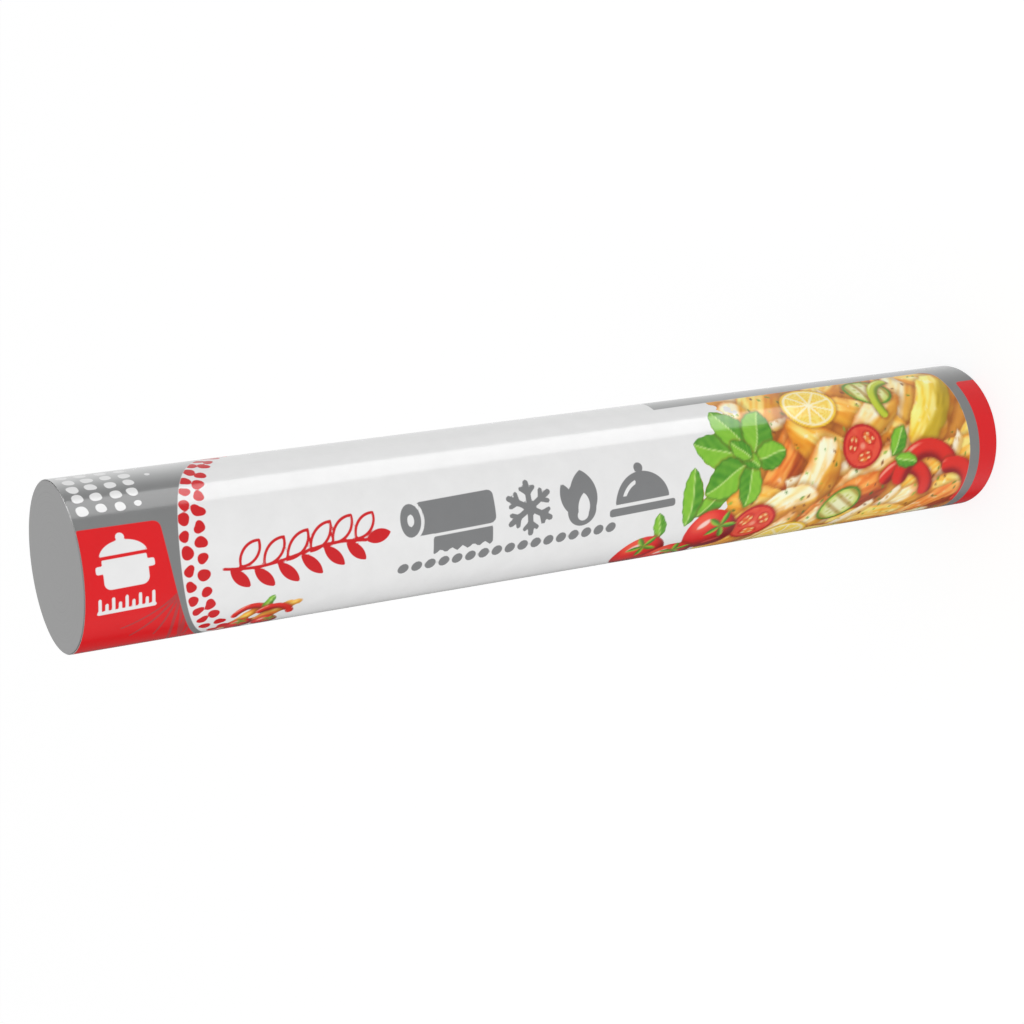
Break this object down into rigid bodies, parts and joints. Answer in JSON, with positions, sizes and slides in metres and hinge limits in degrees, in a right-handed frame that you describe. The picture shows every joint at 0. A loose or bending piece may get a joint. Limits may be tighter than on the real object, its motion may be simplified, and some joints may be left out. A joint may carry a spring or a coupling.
{
  "type": "aluminium foil roll",
  "caption": "Kitchen roll of wound aluminium foil, a firm cylinder with flat ends inside a printed paper wrapper that laps along the back.",
  "frame": {"origin": "middle of the roll's lower end, on the surface that it stands on", "axes": "+Z along the roll's axis, up to the end that the picture shows; -Y towards the middle of the print; the wrapper's lap is on the back, beside +Y"},
  "size_m": [0.0456, 0.0457, 0.3],
  "materials": {
    "foil": "satin",
    "printed_paper": "coated, satin gloss"
  },
  "bodies": {
    "root": {"foil_roll": "foil", "printed_wrapper": "printed_paper"}
  },
  "joints": []
}
